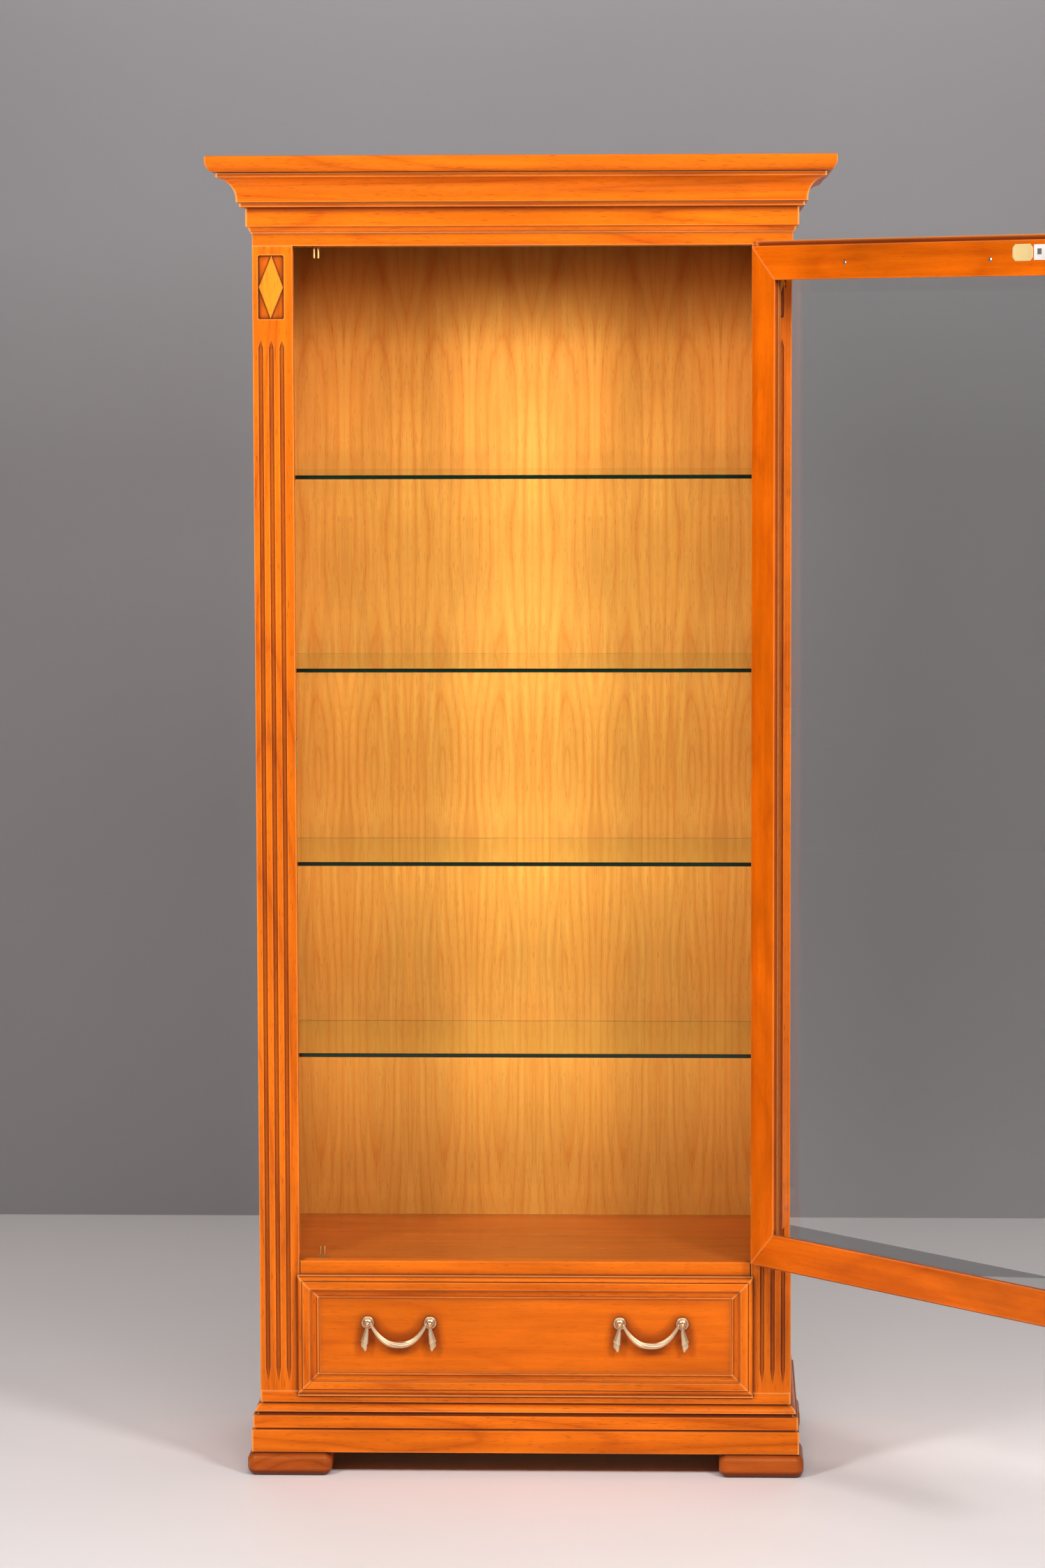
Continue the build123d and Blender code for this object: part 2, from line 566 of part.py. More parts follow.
# ---------------------------------------------------------------- drawer
def drawer():
    lip = LIP_X - INNER_X
    mould = lip + 28.5
    section = thumb_edge(19.0) + [
        (19.0, LIP_FRONT + 0.8), (20.2, LIP_FRONT + 0.8),
        ("arc", (23.5, LIP_FRONT + 3.8), (29.0, LIP_FRONT + 4.8)),
        (29.4, LIP_FRONT + 4.2), ("arc", (31.4, LIP_FRONT + 3.4), (33.2, LIP_FRONT + 4.8)),
        (mould, LIP_FRONT + 6.0), (mould, LIP_BACK),
    ]
    low, high = CARCASS_Z + 2.0, RAIL_UNDER_Z - 2.0
    frame = frame_members(section, lip, mould, DRAWER_BOTTOM, DRAWER_TOP, LIP_X, low, high, INNER_X)
    spare = [
        block((-LIP_X, LIP_X), (LIP_BACK - 2.0, LIP_BACK), (DRAWER_BOTTOM, low - lip)),
        block((-LIP_X, LIP_X), (LIP_BACK - 2.0, LIP_BACK), (high + lip, DRAWER_TOP)),
    ]
    frame[2] = frame[2] + spare[0]
    frame[3] = frame[3] + spare[1]
    save("drawer_front_frame", frame)

    panel = block((-INNER_X, INNER_X), (LIP_BACK, INNER_BACK), (low, high))
    field = ((-LIP_X + mould, LIP_X - mould), (PANEL_Y, LIP_BACK), (low - lip + mould, high + lip - mould))
    panel += block(*field)
    box_x, side_t, rear = OPEN_X - 4.0, 12.0, F + 375.0
    side_z = (CARCASS_Z + 0.5, 286.0)
    for sx in (-1, 1):
        for end in (-1, 1):
            x = sx * PULL_X + end * PULL_HOLES / 2
            panel -= rod(2.1, (x, PANEL_Y - 1, PULL_Z), (x, INNER_BACK + 1, PULL_Z))
    save("drawer_front_panel", panel)

    side = block((box_x - side_t, box_x), (INNER_BACK, rear), side_z)
    groove = ((box_x - side_t - 1, box_x - side_t + 5), (INNER_BACK - 1, rear + 1), (139.0, 144.2))
    side -= block(*groove)
    save("drawer_side_left", mirror_x(side))
    save("drawer_side_right", side)
    inner = box_x - side_t
    save("drawer_back", block((-inner, inner), (rear - 12.0, rear), (144.2, 280.0)))
    save("drawer_bottom", block((-inner - 4.8, inner + 4.8), (INNER_BACK, rear), (139.1, 144.1)))


# ---------------------------------------------------------------- drawer pulls
PANEL_Y = LIP_FRONT + 6.0
BALL_Y = PANEL_Y - 14.0
BALL_R = 5.0
SAG = 32.0
SWAG_POWER = 2.5
BAIL_END = PULL_HOLES / 2 - BALL_R + 0.6
BAIL_PIN_R = 1.25


def rosette(x):
    """Stepped rosette, turned post, ball and screw of one end of a pull, cast as one."""
    steps = [
        (0, PANEL_Y), (9.8, PANEL_Y), (9.8, PANEL_Y - 1.4),
        ("arc", (9.2, PANEL_Y - 2.3), (8.2, PANEL_Y - 2.6)),
        (6.6, PANEL_Y - 2.4), (6.2, PANEL_Y - 3.6), ("arc", (4.8, PANEL_Y - 4.8), (3.0, PANEL_Y - 5.4)),
        (2.6, PANEL_Y - 8.0), (3.0, BALL_Y + 3.0), (0, BALL_Y + 3.0),
    ]
    post = revolve(outline(steps, lambda r, y: Vector(r, y, 0)), Axis((0, 0, 0), (0, 1, 0)), 360)
    ball = Pos(0, BALL_Y, 0) * Sphere(BALL_R)
    shank = rod(2.0, (0, PANEL_Y - 1.0, 0), (0, INNER_BACK + 0.5, 0))
    head = rod(4.0, (0, INNER_BACK, 0), (0, INNER_BACK + 2.5, 0))
    return Pos(x, 0, PULL_Z) * (post + ball + shank + head)


def tassel(sign):
    """A draped cloth end that hangs from the ball, leaning outward."""
    rows = ((-4.2, 2.6, 2.4, 0.6), (-9.0, 3.6, 3.0, 1.0), (-20.0, 5.2, 3.4, 2.8), (-28.0, 5.6, 3.4, 4.2),
            (-39.0, 3.8, 3.0, 5.0))
    sections = [
        Plane(origin=(sign * lean, BALL_Y + 1.0, z), z_dir=(0, 0, 1)) * Ellipse(half_x, half_y)
        for z, half_x, half_y, lean in rows
    ]
    return loft(sections) - Pos(0, BALL_Y, 0) * Sphere(BALL_R + 0.02)


def bail():
    """The swag handle: a tapering festoon between two pivot pins, hanging under its pivot axis."""
    reach = BAIL_END - 1.0
    sections = []
    count = 12
    for step in range(count + 1):
        t = -1 + 2 * step / count
        x, z = reach * t, -SAG * (1 - abs(t) ** SWAG_POWER)
        slope = SWAG_POWER * SAG * math.copysign(abs(t) ** (SWAG_POWER - 1), t) / reach
        thick = 2.2 + 2.9 * (1 - t * t)
        tangent = Vector(1, 0, slope)
        sections.append(Plane(origin=(x, BALL_Y, z), x_dir=(0, 1, 0), z_dir=tangent) * Circle(thick))
    body = loft(sections)
    trim = block((-BAIL_END + 0.8, BAIL_END - 0.8), (BALL_Y - 20, BALL_Y + 20), (-60, 20))
    body = body & trim
    for end in (-1, 1):
        body += rod(BAIL_PIN_R, (end * (BAIL_END - 4.0), BALL_Y, 0), (end * (BAIL_END + 2.6), BALL_Y, 0))
    return body


def pulls():
    rosettes, tassels = [], []
    for sx in (-1, 1):
        centre = sx * PULL_X
        for end in (-1, 1):
            x = centre + end * PULL_HOLES / 2
            drill = rod(1.31, (x, BALL_Y, PULL_Z), (x - end * 10.0, BALL_Y, PULL_Z))
            rosettes.append(rosette(x) - drill)
            tassels.append(Pos(x, 0, PULL_Z) * tassel(end))
    save("pull_rosettes", rosettes)
    save("pull_tassels", tassels)
    save("pull_bail_left", Pos(-PULL_X, 0, PULL_Z) * bail())
    save("pull_bail_right", Pos(PULL_X, 0, PULL_Z) * bail())


carcass()
cornice()
plinth()
interior()
door()
hinges()
lock()
drawer()
pulls()
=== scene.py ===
import json
import math

import bmesh
import bpy
from mathutils import Euler, Matrix, Vector


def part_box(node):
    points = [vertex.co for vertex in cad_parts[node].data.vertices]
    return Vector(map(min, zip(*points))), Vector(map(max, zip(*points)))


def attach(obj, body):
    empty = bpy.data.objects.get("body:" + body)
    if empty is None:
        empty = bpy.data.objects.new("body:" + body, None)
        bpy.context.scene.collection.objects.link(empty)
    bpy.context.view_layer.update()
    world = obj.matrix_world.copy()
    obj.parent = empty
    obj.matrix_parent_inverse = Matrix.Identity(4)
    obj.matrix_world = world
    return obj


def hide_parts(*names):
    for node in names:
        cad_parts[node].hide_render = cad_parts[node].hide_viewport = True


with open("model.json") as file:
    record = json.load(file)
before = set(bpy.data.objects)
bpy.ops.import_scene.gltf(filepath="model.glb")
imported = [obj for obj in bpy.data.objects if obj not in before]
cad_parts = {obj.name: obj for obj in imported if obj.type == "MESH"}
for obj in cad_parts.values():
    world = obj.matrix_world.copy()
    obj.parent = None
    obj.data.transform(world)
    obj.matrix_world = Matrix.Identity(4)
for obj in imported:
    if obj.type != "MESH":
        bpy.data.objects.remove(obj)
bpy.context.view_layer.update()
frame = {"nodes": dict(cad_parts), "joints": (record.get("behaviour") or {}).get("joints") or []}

# China cabinet, looks and studio. Metres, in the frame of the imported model:
# +Z is up, the front faces -Y, and the door stands open as it does at joint value 0.

MM = 0.001
bpy.context.scene.view_settings.view_transform = "Standard"


# ---------------------------------------------------------------- places taken from the frame
def joint(name):
    return next(j for j in frame["joints"] if j["name"] == name)


DOOR_JOINT = joint("door_swing")
HINGE = Vector(DOOR_JOINT["pos_m"])
DOOR_OPEN = -math.radians(DOOR_JOINT["range_deg"][0])
SHELVES = [f"glass_shelf_{n}" for n in range(1, 5)]


def on_door(x, y, z):
    """A point given for the closed door, moved to where the door stands at rest."""
    return HINGE + Matrix.Rotation(DOOR_OPEN, 3, "Z") @ (Vector((x, y, z)) - HINGE)


def closed_box(node):
    """A door node's lowest and highest corners as they are with the door closed."""
    back = Matrix.Rotation(-DOOR_OPEN, 3, "Z")
    corners = [HINGE + back @ (v.co - HINGE) for v in frame["nodes"][node].data.vertices]
    return tuple(Vector([pick(c[axis] for c in corners) for axis in range(3)]) for pick in (min, max))


# ---------------------------------------------------------------- node helpers
OCCLUSION_SAMPLES = 4


class Graph:
    """One procedural material, with short calls for its nodes."""

    def __init__(self, name):
        self.material = bpy.data.materials.new(name)
        self.material.use_nodes = True
        self.tree = self.material.node_tree
        self.tree.nodes.clear()
        self.result = self.node("ShaderNodeOutputMaterial")

    def node(self, kind, inputs=None, **settings):
        made = self.tree.nodes.new(kind)
        for key, value in settings.items():
            setattr(made, key, value)
        for key, value in (inputs or {}).items():
            self.feed(made.inputs[key], value)
        return made

    def feed(self, socket, value):
        if isinstance(value, bpy.types.NodeSocket):
            self.tree.links.new(value, socket)
        else:
            socket.default_value = value

    def math(self, operation, a, b=0.0, c=0.0, clamp=False):
        made = self.node("ShaderNodeMath", {0: a, 1: b, 2: c}, operation=operation, use_clamp=clamp)
        return made.outputs[0]

    def vector(self, x, y, z):
        return self.node("ShaderNodeCombineXYZ", {"X": x, "Y": y, "Z": z}).outputs[0]

    def noise(self, place, scale, detail=2.0, roughness=0.5, distortion=0.0):
        made = self.node("ShaderNodeTexNoise", {
            "Vector": place, "Scale": scale, "Detail": detail,
            "Roughness": roughness, "Distortion": distortion})
        return made.outputs["Fac"]

    def wander(self, value, scale, offset=0.0):
        """Noise along one coordinate only, from 0 to 1."""
        shifted = self.math("ADD", value, offset)
        made = self.node("ShaderNodeTexNoise", {"W": shifted, "Scale": scale, "Detail": 1.0},
                         noise_dimensions="1D")
        return made.outputs["Fac"]

    def ramp(self, value, *stops):
        """A smooth run between (position, level) stops."""
        made = self.node("ShaderNodeValToRGB", {"Fac": value})
        elements = made.color_ramp.elements
        while len(elements) < len(stops):
            elements.new(0.5)
        for element, (position, level) in zip(elements, stops):
            element.position = position
            element.color = (level, level, level, 1)
        return self.node("ShaderNodeSeparateColor", {0: made.outputs[0]}).outputs[0]

    def mix(self, factor, a, b, blend="MIX"):
        made = self.node("ShaderNodeMix", data_type="RGBA", blend_type=blend, clamp_factor=True)
        for socket, value in ((0, factor), (6, a), (7, b)):
            self.feed(made.inputs[socket], value)
        return made.outputs[2]

    def scaled(self, colour, level):
        """A colour times a level that varies over the surface."""
        return self.mix(1.0, colour, self.vector(level, level, level), "MULTIPLY")

    def place(self):
        return self.node("ShaderNodeTexCoord").outputs["Object"]

    def split(self, vector):
        made = self.node("ShaderNodeSeparateXYZ", {0: vector})
        return made.outputs[0], made.outputs[1], made.outputs[2]

    def occlusion(self, distance, inside=False):
        """How closed in (or, inside, how near an outer edge) the surface is: 1 in the open."""
        made = self.node("ShaderNodeAmbientOcclusion", {"Distance": distance}, samples=OCCLUSION_SAMPLES,
                         inside=inside)
        made.only_local = inside
        return made.outputs["AO"]

    def bump(self, height, strength, distance):
        made = self.node("ShaderNodeBump", {"Height": height, "Strength": strength, "Distance": distance})
        return made.outputs[0]

    def principled(self, **inputs):
        made = self.node("ShaderNodeBsdfPrincipled")
        for key, value in inputs.items():
            self.feed(made.inputs[key.replace("_", " ")], value)
        self.tree.links.new(made.outputs[0], self.result.inputs[0])
        return self.material


def rgb(red, green, blue):
    return (red, green, blue, 1.0)


# ---------------------------------------------------------------- wood
CHERRY = dict(
    light=rgb(0.90, 0.185, 0.006), dark=rgb(0.47, 0.066, 0.003), line=0.5, rings=9.0, broad=11.0,
    # The dark colour below is laid where the surface is closed in: painted shade in recesses, corners and
    # beside near parts, partly a glaze tone.
    stretch=0.09, cloud=0.38, pore=rgb(0.16, 0.028, 0.006), pores=0.5, glaze_and_shade=rgb(0.15, 0.022, 0.006),
    # The edge colour below lightens outer edges: a painted highlight on the arrises, partly a rubbed-through
    # finish.
    glaze_and_shade_strength=0.95, edge=rgb(0.98, 0.42, 0.12), edge_wear_and_highlight=0.7, roughness=0.32, coat=0.05,
    reach=0.012, sheen=rgb(1.0, 0.62, 0.3))
LOZENGE_CHERRY = dict(
    CHERRY, light=rgb(0.95, 0.32, 0.02), dark=rgb(0.75, 0.2, 0.01), cloud=0.12, glaze_and_shade_strength=0.3)
DOOR_CHERRY = dict(
    CHERRY, light=rgb(0.82, 0.148, 0.002), dark=rgb(0.42, 0.048, 0.001), line=0.25, rings=5.0,
    broad=9.0, stretch=0.3, cloud=0.62, pores=0.25, roughness=0.26)
VENEER = dict(
    light=rgb(0.95, 0.45, 0.07), dark=rgb(0.70, 0.235, 0.025), line=0.3, rings=0.0, broad=26.0,
    stretch=0.05, cloud=0.26, pore=rgb(0.3, 0.09, 0.015), pores=0.3, glaze_and_shade=rgb(0.3, 0.07, 0.01),
    glaze_and_shade_strength=0.55, edge=rgb(0.95, 0.5, 0.2), edge_wear_and_highlight=0.0, roughness=0.42, coat=0.03, reach=0.045,
    sheen=rgb(1.0, 0.75, 0.45))
BACK_VENEER = dict(
    VENEER, light=rgb(1.0, 0.47, 0.085), dark=rgb(0.80, 0.225, 0.022), line=0.42, glaze_and_shade_strength=0.12)
PANEL_CHERRY = dict(
    CHERRY, light=rgb(0.76, 0.15, 0.005), line=0.24, rings=5.0, stretch=0.2, pores=0.25, cloud=0.4,
    reach=0.02)
FRAME_CHERRY = dict(CHERRY, reach=0.02)
FOOT_CHERRY = dict(
    CHERRY, light=rgb(0.5, 0.1, 0.012), dark=rgb(0.25, 0.035, 0.004), cloud=0.6, stretch=0.3)
FLOOR_VENEER = dict(
    VENEER, light=rgb(0.56, 0.13, 0.018), dark=rgb(0.36, 0.065, 0.008), line=0.3, rings=7.0, broad=9.0,
    stretch=0.12, roughness=0.3, coat=0.3)
SECONDARY = dict(
    VENEER, light=rgb(0.62, 0.4, 0.2), dark=rgb(0.45, 0.26, 0.11), line=0.4, rings=8.0, broad=9.0,
    stretch=0.08, edge_wear_and_highlight=0.3, edge=rgb(0.75, 0.55, 0.33), roughness=0.55, coat=0.0)
LEAF = 0.1           # width of one veneer leaf on the back panel
RING_PITCH = 0.0115  # growth ring spacing in the veneer

# Shade painted into the back panel by height, not a property of its wood: it stands in for the dark
# under the lintel and the fall-off toward the floor, and it stays when the cabinet is lit differently.
# The stops are (share of SHADE_HEIGHT, level); set every level to 1 to take it out.
PAINTED_SHADE = (
    (0.2, 0.76), (0.42, 0.82), (0.62, 0.86), (0.75, 0.9), (0.82, 1.0), (0.86, 1.0), (0.94, 0.35))
SHADE_HEIGHT = 2.0


def grain_axes(g, along, turn, mitred=None):
    """The surface's coordinates, the one along the grain first; a mitred frame turns its grain."""
    place = g.place()
    if turn:
        place = g.node("ShaderNodeVectorRotate", {"Vector": place, "Angle": turn},
                       rotation_type="Z_AXIS").outputs[0]
    x, y, z = g.split(place)
    if mitred:
        low, high = mitred
        out_x = g.math("SUBTRACT", g.math("ABSOLUTE", x), high.x)
        out_z = g.math("SUBTRACT", g.math("ABSOLUTE", g.math("SUBTRACT", z, (low.z + high.z) / 2)),
                       (high.z - low.z) / 2)
        upright = g.math("GREATER_THAN", out_x, out_z)
        swap = g.math("MULTIPLY", g.math("SUBTRACT", z, x), upright)
        x, z = g.math("ADD", x, swap), g.math("SUBTRACT", z, swap)
    return {"x": (x, y, z), "y": (y, z, x), "z": (z, x, y)}[along]


def book_matched_rings(g, height, across):
    """Cathedral arches of a log cut flat: each leaf mirrors its neighbour."""
    leaf = g.math("PINGPONG", across, LEAF)
    centre = g.math("MULTIPLY_ADD", g.wander(height, 1.4), 0.026, LEAF / 2 - 0.013)
    depth = g.math("MULTIPLY_ADD", g.wander(height, 0.9, 5.3), 0.24, -0.085)
    off = g.math("SUBTRACT", leaf, centre)
    wobble = g.noise(g.vector(g.math("MULTIPLY", leaf, 30.0), g.math("MULTIPLY", height, 5.0), 0.0), 1.0)
    radius = g.math("SQRT", g.math("ADD", g.math("POWER", off, 2.0), g.math("POWER", depth, 2.0)))
    radius = g.math("MULTIPLY_ADD", wobble, 0.014, radius)
    return g.math("FRACT", g.math("DIVIDE", radius, RING_PITCH)), leaf


def wood(name, style, along="z", turn=0.0, seed=0.0, mitred=None, shaded=False):
    """Stained wood, darker where it is closed in (partly glaze, partly painted shade in recesses, corners
    and beside near parts) and lighter on outer edges (partly rubbed finish, partly painted highlight); a
    shaded board also carries PAINTED_SHADE.
    """
    g = Graph(name)
    first, a, b = grain_axes(g, along, turn, mitred)
    if style["rings"]:
        long = g.math("MULTIPLY_ADD", first, style["stretch"], seed)
        field = g.noise(g.vector(long, a, b), style["broad"], 1.5, 0.45, 0.4)
        rings = g.math("FRACT", g.math("MULTIPLY", field, style["rings"]))
    else:
        rings, a = book_matched_rings(g, first, a)
    late_wood = g.ramp(rings, (0.0, 0.55), (0.07, 1.0), (0.22, 0.35), (0.6, 0.0), (1.0, 0.5))

    fibre_place = g.vector(g.math("MULTIPLY_ADD", first, 0.02, seed), a, b)
    fibres = g.noise(fibre_place, 620.0, 3.0, 0.6)
    streak_place = g.vector(g.math("MULTIPLY_ADD", first, 0.05, seed + 3.0), a, b)
    streaks = g.noise(streak_place, 70.0, 3.0, 0.55)
    cloud_place = g.vector(g.math("MULTIPLY_ADD", first, 0.4, seed + 7.0), a, b)
    clouds = g.noise(cloud_place, 8.0, 3.0, 0.55, 0.5)
    pore_place = g.vector(g.math("MULTIPLY_ADD", first, 0.06, seed), a, b)
    pores = g.ramp(g.noise(pore_place, 900.0, 1.0), (0.0, 0.0), (0.62, 0.0), (0.72, 1.0))

    figure = g.math("MULTIPLY", late_wood, style["line"])
    figure = g.math("MULTIPLY_ADD", g.math("SUBTRACT", streaks, 0.38), 1.1, figure, clamp=True)
    tone = g.mix(figure, style["light"], style["dark"])
    level = g.math("MULTIPLY_ADD", clouds, 2 * style["cloud"], 1.0 - style["cloud"])
    level = g.math("MULTIPLY", level, g.math("MULTIPLY_ADD", fibres, 0.3, 0.85))
    if shaded:
        shade = g.ramp(g.math("DIVIDE", first, SHADE_HEIGHT), *PAINTED_SHADE)
        level = g.math("MULTIPLY", level, shade)
    tone = g.scaled(tone, level)
    tone = g.mix(g.math("MULTIPLY", pores, style["pores"]), tone, style["pore"])
    if style["glaze_and_shade_strength"]:
        # Painted shade: the dark colour goes where occlusion finds the surface closed in (recesses, corners,
        # beside near parts and shelves), partly a glaze tone.
        shut = g.ramp(g.occlusion(style["reach"]), (0.0, 1.0), (0.6, 1.0), (0.86, 0.62), (0.985, 0.0))
        tone = g.mix(g.math("MULTIPLY", shut, style["glaze_and_shade_strength"]), tone, style["glaze_and_shade"])
    if style["edge_wear_and_highlight"]:
        # Painted highlight: a lighter colour on outer edges where inside occlusion finds an arris, partly a
        # rubbed-through finish.
        rim = g.ramp(g.occlusion(0.0022, True), (0.0, 1.0), (0.5, 0.9), (0.9, 0.0))
        tone = g.mix(g.math("MULTIPLY", rim, style["edge_wear_and_highlight"]), tone, style["edge"])

    roughness = g.math("MULTIPLY_ADD", streaks, 0.16, style["roughness"] - 0.08)
    relief = g.math("SUBTRACT", g.math("MULTIPLY", fibres, 0.6), pores)
    return g.principled(
        Base_Color=tone, Roughness=roughness, Coat_Weight=style["coat"], Coat_Roughness=0.16,
        Specular_IOR_Level=0.2, Specular_Tint=style["sheen"],
        Normal=g.bump(relief, 0.1, 0.0003))


# ---------------------------------------------------------------- glass and metal
def clear_glass(g, colour, passed, roughness):
    """Glass that lamps shine through; passed is the share of their light that it lets by."""
    glass = g.node("ShaderNodeBsdfGlass", {"Color": colour, "Roughness": roughness, "IOR": 1.5})
    clear = g.node("ShaderNodeBsdfTransparent", {"Color": passed})
    shadow = g.node("ShaderNodeLightPath").outputs["Is Shadow Ray"]
    return g.node("ShaderNodeMixShader", {0: shadow, 1: glass.outputs[0], 2: clear.outputs[0]}).outputs[0]


def smears(g, scale, low, high):
    """Roughness with faint wipe marks."""
    x, y, z = g.split(g.place())
    marks = g.noise(g.vector(x, y, g.math("MULTIPLY", z, 0.3)), scale, 3.0, 0.6)
    return g.ramp(marks, (0.0, low), (0.55, low), (0.75, high))


def door_pane():
    g = Graph("door_glass_bevelled")
    pane = clear_glass(g, rgb(0.93, 0.94, 0.94), rgb(0.93, 0.94, 0.94), smears(g, 9.0, 0.0, 0.015))
    g.feed(g.result.inputs[0], pane)
    return g.material


def shelf_glass():
    """Clear faces and dark green sawn edges."""
    g = Graph("shelf_float_glass")
    faces = clear_glass(g, rgb(0.95, 0.985, 0.96), rgb(0.78, 0.8, 0.78), smears(g, 14.0, 0.0, 0.02))
    place = g.place()
    tint = g.mix(g.noise(place, 45.0), rgb(0.0006, 0.010, 0.005), rgb(0.002, 0.022, 0.012))
    edge = g.node("ShaderNodeBsdfPrincipled", {
        "Base Color": tint, "Roughness": g.ramp(g.noise(place, 300.0), (0.0, 0.12), (1.0, 0.3))})
    facing = g.split(g.node("ShaderNodeTexCoord").outputs["Normal"])[2]
    flat = g.math("GREATER_THAN", g.math("ABSOLUTE", facing), 0.7)
    mixed = g.node("ShaderNodeMixShader", {0: flat, 1: edge.outputs[0], 2: faces})
    g.feed(g.result.inputs[0], mixed.outputs[0])
    return g.material


def metal(name, light, dark, roughness, tarnish=0.8, brushed=1.0):
    """Metal with wear on its high spots and a dull film in its hollows."""
    g = Graph(name)
    place = g.place()
    x, y, z = g.split(place)
    brush = g.noise(g.vector(x, y, g.math("MULTIPLY", z, brushed)), 900.0, 2.0)
    blotch = g.noise(place, 160.0, 3.0)
    shut = g.ramp(g.occlusion(0.004), (0.0, 1.0), (0.5, 0.75), (0.9, 0.05))
    film = g.math("MULTIPLY", shut, tarnish)
    film = g.math("MULTIPLY_ADD", g.math("SUBTRACT", blotch, 0.5), 0.5, film, clamp=True)
    tone = g.mix(film, light, dark)
    tone = g.scaled(tone, g.math("MULTIPLY_ADD", brush, 0.2, 0.9))
    gloss = g.math("MULTIPLY_ADD", blotch, 0.2, roughness - 0.1)
    gloss = g.math("MULTIPLY_ADD", film, 0.25, gloss)
    return g.principled(Base_Color=tone, Metallic=1.0, Roughness=gloss, Normal=g.bump(brush, 0.12, 0.0002))


def frosted_lens():
    g = Graph("lens_frosted")
    grain = g.noise(g.place(), 900.0, 2.0)
    tone = g.mix(grain, rgb(0.93, 0.9, 0.84), rgb(0.98, 0.97, 0.93))
    return g.principled(
        Base_Color=tone, Roughness=g.math("MULTIPLY_ADD", grain, 0.25, 0.35),
        Subsurface_Weight=0.3, Normal=g.bump(grain, 0.3, 0.0002))


def paper(name, light, dark, roughness):
    g = Graph(name)
    fibre = g.noise(g.place(), 1500.0, 3.0)
    tone = g.mix(fibre, dark, light)
    gloss = g.math("MULTIPLY_ADD", fibre, 0.2, roughness)
    return g.principled(Base_Color=tone, Roughness=gloss, Normal=g.bump(fibre, 0.2, 0.0001))


# ---------------------------------------------------------------- finishes on the CAD nodes
def assign(node, material):
    mesh = frame["nodes"][node].data
    mesh.materials.clear()
    mesh.materials.append(material)


X_BOARDS = ["cornice_top_board", "cornice_cove_front", "cornice_frieze_front", "lintel_rail",
            "plinth_front", "floor_front_rail"]
FEET = ["foot_front_left", "foot_front_right", "foot_back_left", "foot_back_right"]
Y_BOARDS = ["cornice_cove_left", "cornice_cove_right", "cornice_frieze_left", "cornice_frieze_right",
            "plinth_left", "plinth_right"]
Z_BOARDS = ["pilaster_left", "pilaster_right", "side_panel_left", "side_panel_right"]
SECONDARY_BOARDS = {"drawer_back": "x", "drawer_bottom": "x", "drawer_deck": "x", "drawer_guides": "y",
                    "drawer_side_left": "y", "drawer_side_right": "y", "plinth_back": "x",
                    "cornice_back_rail": "x"}

BRASS = metal("brass_lacquered", rgb(0.8, 0.53, 0.2), rgb(0.3, 0.16, 0.05), 0.3)
PALE_BRASS = metal("brass_pale_antique", rgb(0.86, 0.68, 0.44), rgb(0.27, 0.17, 0.08), 0.36)
TRIM = metal("trim_satin", rgb(0.85, 0.76, 0.62), rgb(0.3, 0.25, 0.2), 0.28)
STEEL = metal("screw_steel", rgb(0.78, 0.78, 0.78), rgb(0.2, 0.19, 0.18), 0.3)

for axis, names in (("x", X_BOARDS), ("y", Y_BOARDS), ("z", Z_BOARDS)):
    for count, node in enumerate(names):
        assign(node, wood(f"cherry_{node}", CHERRY, axis, seed=1.7 * count + ord(axis)))
for count, node in enumerate(FEET):
    assign(node, wood(f"cherry_{node}", FOOT_CHERRY, "x", seed=0.8 * count))
assign("drawer_front_panel", wood("cherry_drawer_panel", PANEL_CHERRY, "x", seed=12.4))
assign("drawer_front_frame", wood("cherry_drawer_frame", FRAME_CHERRY, "x", seed=17.0,
                                  mitred=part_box("drawer_front_frame")))
assign("pilaster_lozenges", wood("cherry_lozenges", LOZENGE_CHERRY, "z", seed=31.0))
for count, node in enumerate(("door_stile_hinge", "door_stile_latch")):
    assign(node, wood(f"cherry_{node}", DOOR_CHERRY, "z", -DOOR_OPEN, seed=2.3 * count))
for count, node in enumerate(("door_rail_top", "door_rail_bottom")):
    assign(node, wood(f"cherry_{node}", DOOR_CHERRY, "x", -DOOR_OPEN, seed=5.1 + 2.3 * count))
for count, (node, axis) in enumerate(SECONDARY_BOARDS.items()):
    assign(node, wood(f"secondary_{node}", SECONDARY, axis, seed=0.9 * count))
assign("back_panel", wood("veneer_back_panel", BACK_VENEER, "z", shaded=True))
assign("ceiling_board", wood("veneer_ceiling", dict(VENEER, rings=7.0, broad=9.0), "x", seed=4.0))
assign("display_floor", wood("veneer_display_floor", FLOOR_VENEER, "x", seed=9.0))

SHELF_GLASS = shelf_glass()  # its passed share is set low, for the dark band under each shelf
for node in SHELVES:
    assign(node, SHELF_GLASS)
assign("door_glass", door_pane())
for node in ("hinge_leaves_cabinet", "hinge_leaves_door", "hinge_pins", "lock_rod", "lock_rod_guides",
             "lock_case", "lock_escutcheon", "lock_forks", "lock_strike_plate", "door_key", "shelf_pins"):
    assign(node, BRASS)
assign("ceiling_light_ring", TRIM)
assign("ceiling_light_lens", frosted_lens())


